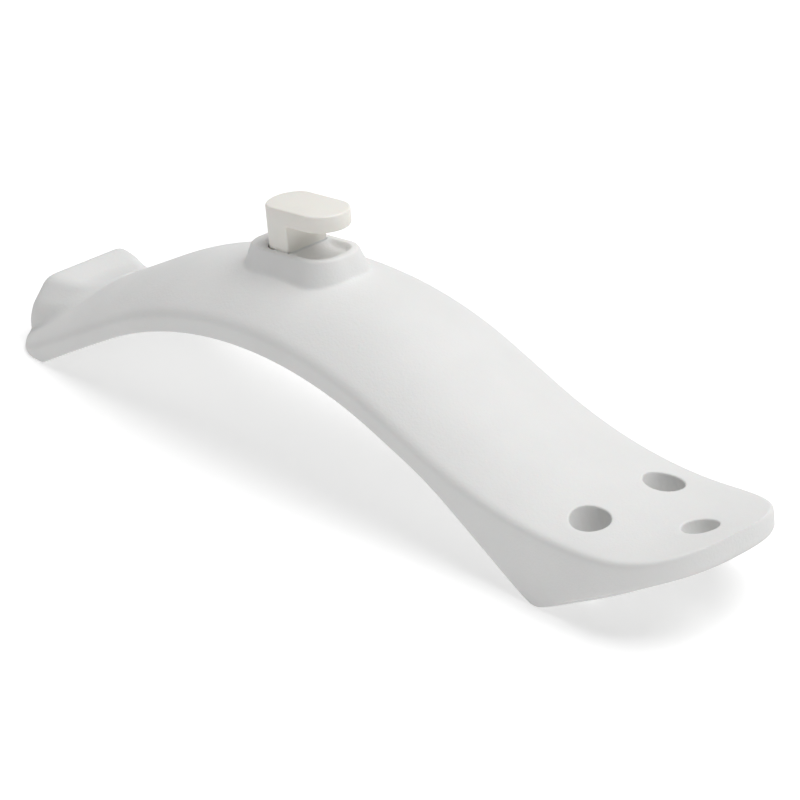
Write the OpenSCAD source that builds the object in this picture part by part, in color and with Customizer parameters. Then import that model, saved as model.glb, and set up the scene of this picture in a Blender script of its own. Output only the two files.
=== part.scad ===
// Rear mudguard of a folding kick scooter: a moulded shell with a stem-latch hook and a tail lamp.
// +X points forwards, to the deck; +Y is the left side; +Z is up. Sizes are millimetres.
// The origin is on the ground plane, midway between the tail and the nose.

/* [Shell] */
// Distance from the tail end to the nose, along X
shell_l = 315; // [290:1:380]
// Width across the shoulders
shell_w = 68.4; // [62:0.1:84]
// Wall thickness of the moulding
wall = 2.6; // [2:0.1:3.2]
// Height of the shoulder line above the ground at the top of the arch
arch_h = 51; // [46:0.5:62]
// Distance from the tail end to the top of the arch
arch_from_tail = 133.5; // [120:0.5:150]
// Radius of the shoulder line over the tyre
arch_r = 156; // [135:1:190]
// Slope of the tail below the horizontal, in degrees
tail_pitch = 30.5; // [27:0.5:32]
// Slope of the ramp that runs down to the deck, in degrees
ramp_pitch = 19.7; // [17:0.1:22]
// Length of the straight part of the ramp
ramp_l = 21; // [15:0.5:28]
// Radius of the hollow sweep where the ramp meets the deck end
sweep_r = 169; // [155:1:200]
// Rise of the deck end towards the nose, in degrees
nose_pitch = 16; // [12:0.5:17]
// Height of the crown over the shoulders, along the arch
crown_h = 13.3; // [11:0.1:16]
// Height of the crown over the shoulders, at the nose
nose_crown_h = 1.5; // [1:0.1:3]
// Squareness of the nose in plan (2 is a half circle)
nose_power = 2.6; // [2:0.1:3]
// Backward lean of the screw wells
well_lean = 11; // [8:0.5:14]
// Depth of the skirt below the shoulder line, along the arch
skirt_h = 7.4; // [6:0.1:9]
// Outward lean of the skirts, in degrees
draft = 4.5; // [2:0.5:6]
// Plan radius of the two tail corners
tail_corner_r = 13; // [8:0.5:16]
// Setback of the rounding along the shoulders
shoulder_f = 2.4; // [1.5:0.1:3]

/* [Deck end] */
// Distance from the nose back to the lowest corner of the side gussets
keel_from_nose = 54; // [45:0.5:60]
// Slope of the gusset edges on both sides of that corner, in degrees
keel_slope = 28.3; // [25:0.1:29]
// Rounding height of that corner
keel_round = 1.6; // [1:0.1:3]
// Distance from the nose back to the rear pair of screw wells
rear_well_x = 47.3; // [42:0.1:54]
// Spacing of the rear pair across the shell
rear_well_pitch = 35.2; // [32:0.1:42]
// Distance from the nose back to the front screw well
front_well_x = 16; // [14.5:0.1:19]
// Diameter of each rear well
rear_well_d = 13.4; // [11:0.1:15]
// Diameter of the front well
front_well_d = 12.2; // [10:0.1:13]
// Depth of the rear wells
rear_well_h = 13; // [10:0.5:15]
// Depth of the front well
front_well_h = 6.5; // [5:0.5:7]
// Diameter of the screw clearance hole in each well's floor
deck_hole_d = 5.5; // [4.3:0.1:6]
// Thickness of each well's floor
well_floor = 3; // [2.5:0.1:3.5]
// Thickness of the stiffening ribs under the deck end
rib_t = 1.8; // [1.5:0.1:2.5]

/* [Hook] */
// Distance from the tail end to the front face of the hook's neck
hook_from_tail = 119.7; // [112:0.1:126]
// Width of the hook
hook_w = 18.6; // [16:0.1:20]
// Thickness of the neck between its front face and its rounded back
neck_t = 14.3; // [13:0.1:16]
// Rise of the neck's rounded back
neck_back = 5.5; // [4.5:0.1:6.5]
// Height of the neck between the boss rim and the cap
neck_h = 9.3; // [8:0.1:12]
// Thickness of the cap
cap_t = 6; // [5:0.1:7]
// Reach of the cap in front of the neck
cap_reach = 18.9; // [15:0.1:19.5]
// Rearward lean of the hook, in degrees
hook_lean = 7.1; // [5:0.1:9]
// Depth of the hook's foot in its socket
foot_h = 6; // [5:0.1:7]
// Clearance between the foot and its socket
foot_gap = 0.25; // [0.15:0.05:0.4]
// Thread diameter of the hook screw
hook_screw_d = 5; // [4:0.5:6]

/* [Boss] */
// Height of the boss rim above the crown, at the neck
boss_h = 5.2; // [4.5:0.1:7]
// Length of the rim
rim_l = 40.4; // [39:0.1:48]
// Width of the rim
rim_w = 22.8; // [22:0.1:28]
// Extra reach of the boss foot beyond its rim, on every side
boss_flare = 3.4; // [2:0.1:4]
// Width of the flat lip round the dish
rim_lip = 2; // [1.5:0.1:2.5]
// Depth of the dish in front of the neck
dish_h = 2.2; // [2:0.1:3]

/* [Tail lamp] */
// Height of the lamp hump above the ground
hump_h = 22.4; // [22:0.1:25]
// Width of the hump at the tail end
hump_w = 49.6; // [48:0.1:54]
// Rounding of the hump's upper edges
hump_r = 8; // [7:0.1:9]
// Length of the hump along the shell
hump_l = 22; // [21:0.5:24]
// Width of the lamp
lamp_w = 29; // [24:0.1:30]
// Height of the lamp
lamp_h = 10; // [8:0.1:10.4]
// Depth of the lamp pocket
pocket_l = 16; // [15.5:0.1:17]
// Gap between the lamp pieces and the pocket walls
lamp_gap = 0.3; // [0.2:0.05:0.5]
// Thickness of the lens
lens_t = 2.2; // [1.8:0.1:3]
// Number of light-emitting diodes
led_count = 6; // [4:1:7]

/* [Hidden] */

round_fn = 64;          // segments of a round bore or boss
hull_fn = 32;           // segments of a round inside a hull
over = 1;               // length by which a cutter passes the face it cuts
slab_t = 0.5;           // thickness of the plates that a hull is stretched between

shell_rgb = [0.90, 0.90, 0.89];
hook_rgb = [0.91, 0.90, 0.86];
brass_rgb = [0.78, 0.62, 0.30];
steel_rgb = [0.66, 0.67, 0.69];
lens_rgb = [0.70, 0.05, 0.05];
rubber_rgb = [0.10, 0.10, 0.11];
board_rgb = [0.05, 0.33, 0.18];
diode_rgb = [0.95, 0.85, 0.55];
reflector_rgb = [0.96, 0.96, 0.96];

tail_x = -shell_l / 2;
nose_x = shell_l / 2;
half_w = shell_w / 2;
nose_centre_x = nose_x - half_w;

// ---- Shoulder line in side view: tail line, arch, ramp, sweep and nose line, each tangent to the next.
arch_x = tail_x + arch_from_tail;
arch_start_x = arch_x - arch_r * sin(tail_pitch);
arch_end_x = arch_x + arch_r * sin(ramp_pitch);
ramp_end_x = arch_end_x + ramp_l * cos(ramp_pitch);
sweep_x = ramp_end_x + sweep_r * sin(ramp_pitch);
sweep_end_x = sweep_x + sweep_r * sin(nose_pitch);
arch_start_z = arch_h - arch_r * (1 - cos(tail_pitch));
arch_end_z = arch_h - arch_r * (1 - cos(ramp_pitch));
ramp_end_z = arch_end_z - ramp_l * sin(ramp_pitch);
sweep_z = ramp_end_z - sweep_r * (1 - cos(ramp_pitch));
sweep_end_z = sweep_z + sweep_r * (1 - cos(nose_pitch));

function shoulder_z(x) =
    x < arch_start_x ? arch_start_z - (arch_start_x - x) * tan(tail_pitch) :
    x < arch_end_x ? arch_h - arch_r + sqrt(pow(arch_r, 2) - pow(x - arch_x, 2)) :
    x < ramp_end_x ? arch_end_z - (x - arch_end_x) * tan(ramp_pitch) :
    x < sweep_end_x ? sweep_z + sweep_r - sqrt(pow(sweep_r, 2) - pow(x - sweep_x, 2)) :
    sweep_end_z + (x - sweep_end_x) * tan(nose_pitch);

// A smooth step from 0 at a to 1 at b
function ease(x, a, b) = let (t = max(0, min(1, (x - a) / (b - a)))) t * t * (3 - 2 * t);

// ---- Crown: a parabola across the shell, tall over the arch and shallow at the nose.
crown_fade_x = [arch_end_x - 4, nose_x - 14];   // where the tall crown gives way to the shallow one
function crown_rise(x) =
    crown_h + (nose_crown_h - crown_h) * ease(x, crown_fade_x[0], crown_fade_x[1]);
function top_z(x, y) = shoulder_z(x) + crown_rise(x) * (1 - pow(y / half_w, 2));

// ---- Plan outline: round tail corners, straight sides, a rounded nose.
function plan_half(x, inset) =
    let (w = half_w - inset, tail = tail_x + inset, r = tail_corner_r)
    x < tail + r ? w - r + sqrt(max(0, pow(r, 2) - pow(tail + r - x, 2))) :
    x > nose_centre_x ?
        w * pow(max(0, 1 - pow((x - nose_centre_x) / w, nose_power)), 1 / nose_power) : w;

// Outward direction of the plan outline at a station, as [x, y]
function plan_normal(x, inset) =
    let (
        tail_run = tail_x + inset + tail_corner_r - x,
        w = half_w - inset,
        nose_ahead = pow(max(0, x - nose_centre_x) / w, nose_power - 1),
        nose_aside = pow(plan_half(x, inset) / w, nose_power - 1),
        nx = tail_run > 0 ? -tail_run / tail_corner_r : nose_ahead / norm([nose_ahead, nose_aside])
    )
    [nx, sqrt(max(0, 1 - nx * nx))];

// ---- Lower edge in side view: the skirt's edge over the arch, then the gusset corner on the ground.
keel_x = nose_x - keel_from_nose;
function keel_z(x) =
    sqrt(pow((x - keel_x) * tan(keel_slope), 2) + pow(keel_round, 2)) - keel_round;
keel_blend = 2;         // softness of the bend where the skirt's edge meets the gusset's
function soft_min(a, b, k) = (a + b - sqrt(pow(a - b, 2) + pow(k, 2))) / 2;
function lower_z(x) = max(0, soft_min(shoulder_z(x) - skirt_h, keel_z(x), keel_blend));

// ---- One cross-section, from the right lower edge over the crown to the left lower edge.
crown_steps = 14;
round_steps = 3;
thin_end = 0.6;                         // half-width left at the nose's flat end
void_drop = 3;                          // how far the hollow passes below the lower edge
round_share = 0.6;                      // share of a skirt that its shoulder rounding may take
wall_t_z = wall / cos(tail_pitch);      // vertical thickness that leaves the wall on the slopes

// Half a section as [distance from the centre plane, height]; past the plan outline the distance is an overhang
function half_section(x, w, inset, drop) =
    let (
        z_w = top_z(x, w) - drop,
        low = inset > 0 ? lower_z(x) - void_drop : lower_z(x),
        f = min(shoulder_f, w / 2, round_share * (z_w - low)),
        p0 = [w - f, top_z(x, w - f) - drop],
        p1 = [w, z_w],
        p2 = [w + f * tan(draft), z_w - f]
    )
    concat(
        [[w + (z_w - low) * tan(draft), low]],
        [for (i = [round_steps:-1:0])
            let (t = i / round_steps)
            pow(1 - t, 2) * p0 + 2 * t * (1 - t) * p1 + pow(t, 2) * p2],
        [for (i = [1:crown_steps / 2])
            let (y = (w - f) * (1 - 2 * i / crown_steps))
            [y, top_z(x, y) - drop]]
    );

function section(x, inset, drop) =
    let (
        w = max(plan_half(x, inset), thin_end),
        h = half_section(x, w, inset, drop),
        n = len(h),
        out = plan_normal(x, inset),
        side = [for (p = h)
            let (o = max(0, p[0] - w))
            [x + o * out[0], min(p[0], w) + o * out[1], p[1]]]
    )
    concat(
        [for (p = side) [p[0], -p[1], p[2]]],
        [for (i = [n - 2:-1:0]) side[i]]
    );

// ---- Stations along the shell: close together round the tail corners and the nose.
tail_steps = 5;
side_steps = 30;
nose_steps = 12;
nose_stop = 86;         // degrees of the nose arc before its small flat end
function stations(inset) =
    let (tail = tail_x + inset, w = half_w - inset, side_x0 = tail + tail_corner_r)
    concat(
        [for (i = [0:tail_steps - 1]) tail + tail_corner_r * (1 - cos(90 * i / tail_steps))],
        [for (i = [0:side_steps - 1]) side_x0 + (nose_centre_x - side_x0) * i / side_steps],
        [for (i = [0:nose_steps]) nose_centre_x + w * pow(sin(nose_stop * i / nose_steps), 2 / nose_power)]
    );

// A closed solid between the lower edge and the top surface
module loaf(inset, drop) {
    xs = stations(inset);
    rings = [for (x = xs) section(x, inset, drop)];
    n = len(rings[0]);
    m = len(rings);
    polyhedron(
        points = [for (r = rings) each r],
        faces = concat(
            [for (i = [0:m - 2], j = [0:n - 1])
                let (k = (j + 1) % n) [i * n + j, i * n + k, (i + 1) * n + k]],
            [for (i = [0:m - 2], j = [0:n - 1])
                let (k = (j + 1) % n) [i * n + j, (i + 1) * n + k, (i + 1) * n + j]],
            [for (j = [1:n - 2]) [0, j + 1, j]],
            [for (j = [1:n - 2]) let (k = (m - 1) * n) [k, k + j, k + j + 1]]
        )
    );
}

// ---- Frames of the features: each child is drawn upright and then laid on the shell.
hook_x = tail_x + hook_from_tail;
hook_z = top_z(hook_x, 0) + boss_h;
module at_hook() {
    translate([hook_x, 0, hook_z]) rotate([0, -hook_lean, 0]) children();
}

well_places = [
    [nose_x - rear_well_x, -rear_well_pitch / 2, rear_well_d, rear_well_h],
    [nose_x - rear_well_x, rear_well_pitch / 2, rear_well_d, rear_well_h],
    [nose_x - front_well_x, 0, front_well_d, front_well_h]
];
module at_well(p) {
    translate([p[0], p[1], top_z(p[0], p[1])]) rotate([0, -well_lean, 0]) children();
}

lamp_z = hump_h - wall - lamp_gap - lamp_h / 2;

// ---- Hook profile in its own frame: the neck's front face is at x = 0.
hook_back_r = (pow(hook_w / 2, 2) + pow(neck_back, 2)) / (2 * neck_back);
neck_mid_x = -neck_t / 2;
front_r = hook_w / 2;

module hook_plan(grow) {
    intersection() {
        translate([hook_back_r - neck_t, 0]) circle(r = hook_back_r + grow, $fn = round_fn);
        translate([-neck_t - grow, -hook_w / 2 - grow])
            square([neck_t + 2 * grow, hook_w + 2 * grow]);
    }
}

module neck_prism(h, grow) {
    linear_extrude(height = h) hook_plan(grow);
}

module cap_prism() {
    linear_extrude(height = cap_t) {
        hook_plan(0);
        translate([neck_back - neck_t, -hook_w / 2])
            square([neck_t - neck_back + cap_reach - front_r, hook_w]);
        translate([cap_reach - front_r, 0]) circle(r = front_r, $fn = round_fn);
    }
}

// ---- Hook fixing, from below: washer, screw, threaded insert.
socket_floor_t = 4;
insert_wall = 1.1;
insert_d = hook_screw_d + 2 * insert_wall;
insert_h = hook_screw_d * 1.6;
thread_gap = 0.05;
screw_play = 0.5;       // how much wider a clearance hole is than its screw
washer_t = 1;
washer_d = hook_screw_d * 2.3;
head_d = hook_screw_d * 1.9;
head_h = hook_screw_d * 0.6;
drive_share = 0.6;      // depth of a screw's socket as a share of its head
pillar_d = washer_d + 2 * wall;
pillar_low = -(foot_h + foot_gap + socket_floor_t);
thread_spare = 1;       // thread of the insert left free beyond the screw's end
hook_screw_l = socket_floor_t + washer_t + foot_gap + insert_h - thread_spare;

// ---- Boss in the hook's frame, with a rim that stays level with the hook's foot
rim_behind = 7.5;       // rim behind the neck
rim_back = neck_t + rim_behind;
rim_mid_x = rim_l / 2 - rim_back;
boss_deep = 14;         // depth of the boss's buried foot below its rim
boss_seen_h = 8.2;      // height over which the boss gains its flare
rim_corner_r = 9.2;

// A rounded rectangle about the origin
module rounded_plan(l, w, r) {
    square([l - 2 * r, w], center = true);
    square([l, w - 2 * r], center = true);
    for (sx = [-1, 1], sy = [-1, 1])
        translate([sx * (l / 2 - r), sy * (w / 2 - r)]) circle(r = r, $fn = round_fn);
}

module boss_form() {
    flare = boss_flare * boss_deep / boss_seen_h;
    at_hook()
        translate([rim_mid_x, 0, 0])
            hull() {
                translate([0, 0, -slab_t])
                    linear_extrude(height = slab_t)
                        rounded_plan(rim_l, rim_w, rim_corner_r);
                translate([0, 0, -boss_deep])
                    linear_extrude(height = slab_t)
                        rounded_plan(rim_l + 2 * flare, rim_w + 2 * flare, rim_corner_r + flare);
            }
}

// The dish: the rim plan less its lip, in front of the neck, with a floor rounded along X
dish_l = rim_l - rim_back - rim_lip;
dish_r = (pow(dish_l / 2, 2) + pow(dish_h, 2)) / (2 * dish_h);
module dish_cut() {
    at_hook()
        intersection() {
            translate([dish_l / 2, rim_w, dish_r - dish_h])
                rotate([90, 0, 0]) cylinder(r = dish_r, h = 2 * rim_w, $fn = round_fn);
            translate([rim_mid_x, 0, -dish_h - over])
                linear_extrude(height = dish_h + 2 * over)
                    rounded_plan(rim_l - 2 * rim_lip, rim_w - 2 * rim_lip, rim_corner_r - rim_lip);
        }
}

// ---- Tail hump: level on top, with rounded sides that narrow forwards into the crown
hump_foot_r = 2;
hump_foot_z = 2.3;      // keeps the hump's lowest edge just clear of the ground
hump_foot_in = 1.8;     // how much narrower the hump is at its foot, on each side
hump_straight_l = 4;    // length of the hump behind its taper
module hump_form() {
    hull() {
        for (s = [-1, 1]) {
            translate([tail_x, s * (hump_w / 2 - hump_r), hump_h - hump_r])
                rotate([0, 90, 0]) cylinder(r = hump_r, h = hump_straight_l, $fn = hull_fn);
            translate([tail_x, s * (hump_w / 2 - hump_foot_in - hump_foot_r), hump_foot_z])
                rotate([0, 90, 0]) cylinder(r = hump_foot_r, h = hump_straight_l, $fn = hull_fn);
            translate([tail_x + hump_l - hump_r, s * hump_w / 4, hump_h - hump_r])
                sphere(r = hump_r, $fn = hull_fn);
        }
    }
}

module lamp_block(l, grow) {
    translate([tail_x, -lamp_w / 2 - grow, lamp_z - lamp_h / 2 - grow])
        cube([l, lamp_w + 2 * grow, lamp_h + 2 * grow]);
}

grommet_d = 4;
grommet_lip = 1.2;
grommet_clear = 0.6;    // plastic left between the grommet's hole and the pocket's front wall
lamp_floor_z = lamp_z - lamp_h / 2 - lamp_gap - wall;
module at_grommet() {
    translate([tail_x + pocket_l - grommet_d / 2 - grommet_clear, -lamp_w / 4, lamp_floor_z]) children();
}

lamp_screw_d = 2.6;
lamp_screw_x = tail_x + 6.5;
lamp_screw_play = 0.4;
lamp_head_d = 5;
lamp_head_h = 1.6;
lamp_screw_l = wall + lamp_gap + 2.2;
pilot_spare = 0.2;      // pilot hole left free beyond each lamp screw's end
module at_lamp_screws() {
    for (s = [-1, 1])
        translate([lamp_screw_x, s * lamp_w / 3, lamp_floor_z]) children();
}

// ---- Sub-parts
module shell_void() {
    difference() {
        loaf(wall, wall_t_z);
        for (p = well_places)
            at_well(p)
                translate([0, 0, -p[3] - well_floor])
                    cylinder(d = p[2] + 2 * wall, h = 2 * p[3] + well_floor, $fn = round_fn);
        at_hook()
            translate([neck_mid_x, 0, pillar_low])
                cylinder(d = pillar_d, h = foot_h + socket_floor_t + over, $fn = round_fn);
        lamp_block(pocket_l + wall, lamp_gap + wall);
        shell_ribs();
    }
}

// One rib across the shell through the rear wells, and one from it to the front well
module shell_ribs() {
    rib_x = nose_x - rear_well_x;
    cross_z = top_z(rib_x, rear_well_pitch / 2) - rear_well_h;
    long_z = top_z(nose_x - front_well_x, 0) - front_well_h - well_floor;
    translate([rib_x - rib_t / 2, -shell_w, cross_z]) cube([rib_t, 2 * shell_w, 3 * rear_well_h]);
    translate([rib_x, -rib_t / 2, long_z]) cube([rear_well_x - front_well_x, rib_t, 3 * front_well_h]);
}

module whole_shell() {
    color(shell_rgb)
        difference() {
            union() {
                loaf(0, 0);
                boss_form();
                hump_form();
            }
            shell_void();
            dish_cut();
            at_hook() {
                translate([0, 0, -foot_h - foot_gap]) neck_prism(2 * foot_h, foot_gap);
                translate([neck_mid_x, 0, pillar_low - over])
                    cylinder(d = hook_screw_d + screw_play, h = socket_floor_t + 2 * over, $fn = round_fn);
            }
            for (p = well_places)
                at_well(p) {
                    translate([0, 0, -p[3]]) cylinder(d = p[2], h = 2 * p[3], $fn = round_fn);
                    translate([0, 0, -p[3] - well_floor - over])
                        cylinder(d = deck_hole_d, h = well_floor + 2 * over, $fn = round_fn);
                }
            translate([-over, 0, 0]) lamp_block(pocket_l + over, lamp_gap);
            at_grommet()
                translate([0, 0, -over]) cylinder(d = grommet_d, h = wall + 2 * over, $fn = round_fn);
            at_lamp_screws()
                translate([0, 0, -over])
                    cylinder(d = lamp_screw_d + lamp_screw_play, h = wall + 2 * over, $fn = round_fn);
        }
}

// The moulding is one piece; it is cut across into lengths so that collision can follow its hollow.
cut_spare = 3;          // how far a length's box passes the moulding, and a cut clears a feature
boss_half_l = rim_l / 2 + boss_flare * boss_deep / boss_seen_h + cut_spare;
tail_len = 45.2;
gusset_x = nose_x - 77.9;
deck_end_x = nose_x - rear_well_x - rear_well_d / 2 - wall - cut_spare;
shell_cuts = [
    tail_x - cut_spare,
    tail_x + tail_len,
    hook_x + rim_mid_x - boss_half_l,
    hook_x + rim_mid_x + boss_half_l,
    (hook_x + rim_mid_x + boss_half_l + gusset_x) / 2,
    gusset_x,
    deck_end_x,
    nose_x + cut_spare
];
module shell_length(i) {
    color(shell_rgb)
        intersection() {
            whole_shell();
            translate([shell_cuts[i], -shell_w, -cut_spare])
                cube([shell_cuts[i + 1] - shell_cuts[i], 2 * shell_w, hook_z + 2 * cut_spare]);
        }
}
module shell_tail() { shell_length(0); }
module shell_rear_arch() { shell_length(1); }
module shell_boss() { shell_length(2); }
module shell_front_arch() { shell_length(3); }
module shell_ramp() { shell_length(4); }
module shell_gusset() { shell_length(5); }
module shell_deck_end() { shell_length(6); }

module stem_hook() {
    color(hook_rgb)
        at_hook()
            difference() {
                union() {
                    translate([0, 0, -foot_h]) neck_prism(foot_h + neck_h, 0);
                    translate([0, 0, neck_h]) cap_prism();
                }
                translate([neck_mid_x, 0, -foot_h - over])
                    cylinder(d = insert_d, h = insert_h + over, $fn = round_fn);
            }
}

module hook_insert() {
    color(brass_rgb)
        at_hook()
            translate([neck_mid_x, 0, -foot_h])
                difference() {
                    cylinder(d = insert_d, h = insert_h, $fn = round_fn);
                    translate([0, 0, -over])
                        cylinder(d = hook_screw_d, h = insert_h + 2 * over, $fn = round_fn);
                }
}

module hook_washer() {
    color(steel_rgb)
        at_hook()
            translate([neck_mid_x, 0, pillar_low - washer_t])
                difference() {
                    cylinder(d = washer_d, h = washer_t, $fn = round_fn);
                    translate([0, 0, -over])
                        cylinder(d = hook_screw_d + screw_play, h = washer_t + 2 * over, $fn = round_fn);
                }
}

module hook_screw() {
    socket_d = head_d / 2;
    color(steel_rgb)
        at_hook()
            translate([neck_mid_x, 0, pillar_low - washer_t])
                difference() {
                    union() {
                        cylinder(d = hook_screw_d - 2 * thread_gap, h = hook_screw_l, $fn = round_fn);
                        translate([0, 0, -head_h]) cylinder(d = head_d, h = head_h, $fn = round_fn);
                    }
                    translate([0, 0, -head_h - over])
                        cylinder(d = socket_d, h = over + head_h * drive_share, $fn = 6);
                }
}

module lamp_lens() {
    color(lens_rgb) lamp_block(lens_t, 0);
}

gasket_t = 1;
gasket_edge = 1.2;
module lamp_gasket() {
    color(rubber_rgb)
        difference() {
            translate([lens_t, 0, 0]) lamp_block(gasket_t, 0);
            translate([lens_t - over, 0, 0]) lamp_block(gasket_t + 2 * over, -gasket_edge);
        }
}

board_t = 1.2;
board_x = pocket_l - 6;     // leaves room behind the board for its connector
reflector_x = lens_t + gasket_t;
reflector_l = board_x - reflector_x;
module lamp_reflector() {
    color(reflector_rgb)
        difference() {
            translate([reflector_x, 0, 0]) lamp_block(reflector_l, 0);
            for (i = [0:led_count - 1])
                at_led(i)
                    translate([0, 0, -over])
                        cylinder(d = led_cup_d, h = reflector_l + 2 * over, $fn = round_fn);
            at_lamp_screws() cylinder(d = lamp_screw_d, h = lamp_screw_l + pilot_spare, $fn = round_fn);
        }
}

led_pitch = lamp_w / (led_count + 1);
led_cup_d = led_pitch * 0.8;
led_d = led_pitch * 0.6;
module at_led(i) {
    translate([tail_x + reflector_x, (i - (led_count - 1) / 2) * led_pitch, lamp_z])
        rotate([0, 90, 0]) children();
}

module lamp_board() {
    color(board_rgb) translate([board_x, 0, 0]) lamp_block(board_t, 0);
}

led_h = 1.6;
module lamp_leds() {
    color(diode_rgb)
        for (i = [0:led_count - 1])
            at_led(i)
                translate([0, 0, reflector_l - led_h]) cylinder(d = led_d, h = led_h, $fn = round_fn);
}

connector_l = 3.5;
connector_w = 6;
connector_h = 4;
module lamp_connector() {
    color(reflector_rgb)
        translate([tail_x + board_x + board_t, lamp_w / 8, lamp_z - connector_h / 2])
            cube([connector_l, connector_w, connector_h]);
}

module lamp_screws() {
    color(steel_rgb)
        at_lamp_screws() {
            translate([0, 0, -lamp_head_h]) cylinder(d = lamp_head_d, h = lamp_head_h, $fn = round_fn);
            cylinder(d = lamp_screw_d - 2 * thread_gap, h = lamp_screw_l, $fn = round_fn);
        }
}

module lead_grommet() {
    color(rubber_rgb)
        at_grommet()
            difference() {
                union() {
                    cylinder(d = grommet_d - 2 * thread_gap, h = wall, $fn = round_fn);
                    translate([0, 0, -grommet_lip])
                        cylinder(d = grommet_d + 2 * grommet_lip, h = grommet_lip, $fn = round_fn);
                }
                translate([0, 0, -grommet_lip - over])
                    cylinder(d = grommet_d / 2, h = wall + grommet_lip + 2 * over, $fn = round_fn);
            }
}

shell_tail();
shell_rear_arch();
shell_boss();
shell_front_arch();
shell_ramp();
shell_gusset();
shell_deck_end();
stem_hook();
hook_insert();
hook_washer();
hook_screw();
lamp_lens();
lamp_gasket();
lamp_reflector();
lamp_board();
lamp_leds();
lamp_connector();
lamp_screws();
lead_grommet();
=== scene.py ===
"""Rear mudguard of a folding kick scooter: a grained moulded shell, its latch hook and its tail lamp.

Sizes in the classes are millimetres, in the CAD frame: +X to the deck, +Y to the left, +Z up.
Meshes are written in metres. Surfaces are computed as whole numpy arrays.
"""

import logging
import math
from dataclasses import dataclass, field
from enum import Enum

import bmesh
import bpy
import numpy as np
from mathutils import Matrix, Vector


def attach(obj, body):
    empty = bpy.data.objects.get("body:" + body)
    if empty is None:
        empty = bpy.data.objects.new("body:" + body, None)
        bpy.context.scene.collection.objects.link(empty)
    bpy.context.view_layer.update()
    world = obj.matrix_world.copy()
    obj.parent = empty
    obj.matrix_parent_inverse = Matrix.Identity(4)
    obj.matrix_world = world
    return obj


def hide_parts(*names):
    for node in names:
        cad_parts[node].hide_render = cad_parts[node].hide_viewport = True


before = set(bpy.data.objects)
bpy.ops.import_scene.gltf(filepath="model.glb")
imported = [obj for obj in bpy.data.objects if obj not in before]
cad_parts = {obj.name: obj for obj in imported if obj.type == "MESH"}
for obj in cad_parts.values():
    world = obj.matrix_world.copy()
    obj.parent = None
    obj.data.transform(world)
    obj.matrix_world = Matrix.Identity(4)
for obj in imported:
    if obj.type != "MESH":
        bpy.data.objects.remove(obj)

LOG = logging.getLogger("mudguard")
MM = 0.001
WELD_M = 2e-6
Array = np.ndarray


class Slot(Enum):
    """The record's material slots of the pieces that are made here."""

    SHELL = "shell_plastic"
    HOOK = "hook_nylon"
    LENS = "red_lens"


# Small numeric helpers


def ease(x: Array, a: float, b: float) -> Array:
    """Smooth step: 0 up to a, 1 from b, and 3t^2 - 2t^3 between them.

    Args:
        x: values to map.
        a: where the step starts.
        b: where the step ends.

    Returns:
        Values from 0 to 1.
    """
    t = np.clip((np.asarray(x, float) - a) / (b - a), 0.0, 1.0)
    return t * t * (3 - 2 * t)


def smooth_max(a: Array, b: Array, k: Array) -> Array:
    """The larger of a and b, plus h^2 k / 4 near where they cross, with h = max(1 - |a - b| / k, 0).

    Args:
        a: first values.
        b: second values.
        k: how far apart the two may be and still blend.

    Returns:
        The blended maximum.
    """
    h = np.maximum(1 - np.abs(a - b) / k, 0.0)
    return np.maximum(a, b) + h * h * k * 0.25


def smooth_min(a: Array, b: Array, k: Array) -> Array:
    """The smaller of a and b, less the blend that smooth_max adds."""
    return -smooth_max(-a, -b, k)


def bezier(p0: Array, p1: Array, p2: Array, t: Array) -> Array:
    """Quadratic Bezier (1-t)^2 p0 + 2t(1-t) p1 + t^2 p2, with t along a new leading axis."""
    t = np.reshape(t, (-1,) + (1,) * np.ndim(p0))
    return (1 - t) ** 2 * p0 + 2 * t * (1 - t) * p1 + t ** 2 * p2


def strip_faces(a: Array, b: Array, closed: bool) -> Array:
    """Quads between two rows of vertex numbers.

    Args:
        a: numbers of the first row.
        b: numbers of the second row, as many.
        closed: whether the rows are rings.

    Returns:
        Quads as an (n, 4) array, ordered a0, a1, b1, b0.
    """
    if closed:
        a1, b1 = np.roll(a, -1), np.roll(b, -1)
        return np.stack([a, a1, b1, b], 1)
    return np.stack([a[:-1], a[1:], b[1:], b[:-1]], 1)


def link(name: str, data: bpy.types.ID) -> bpy.types.Object:
    """Makes an object of mesh, light or camera data, and links it to the scene."""
    obj = bpy.data.objects.new(name, data)
    bpy.context.scene.collection.objects.link(obj)
    return obj


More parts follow.
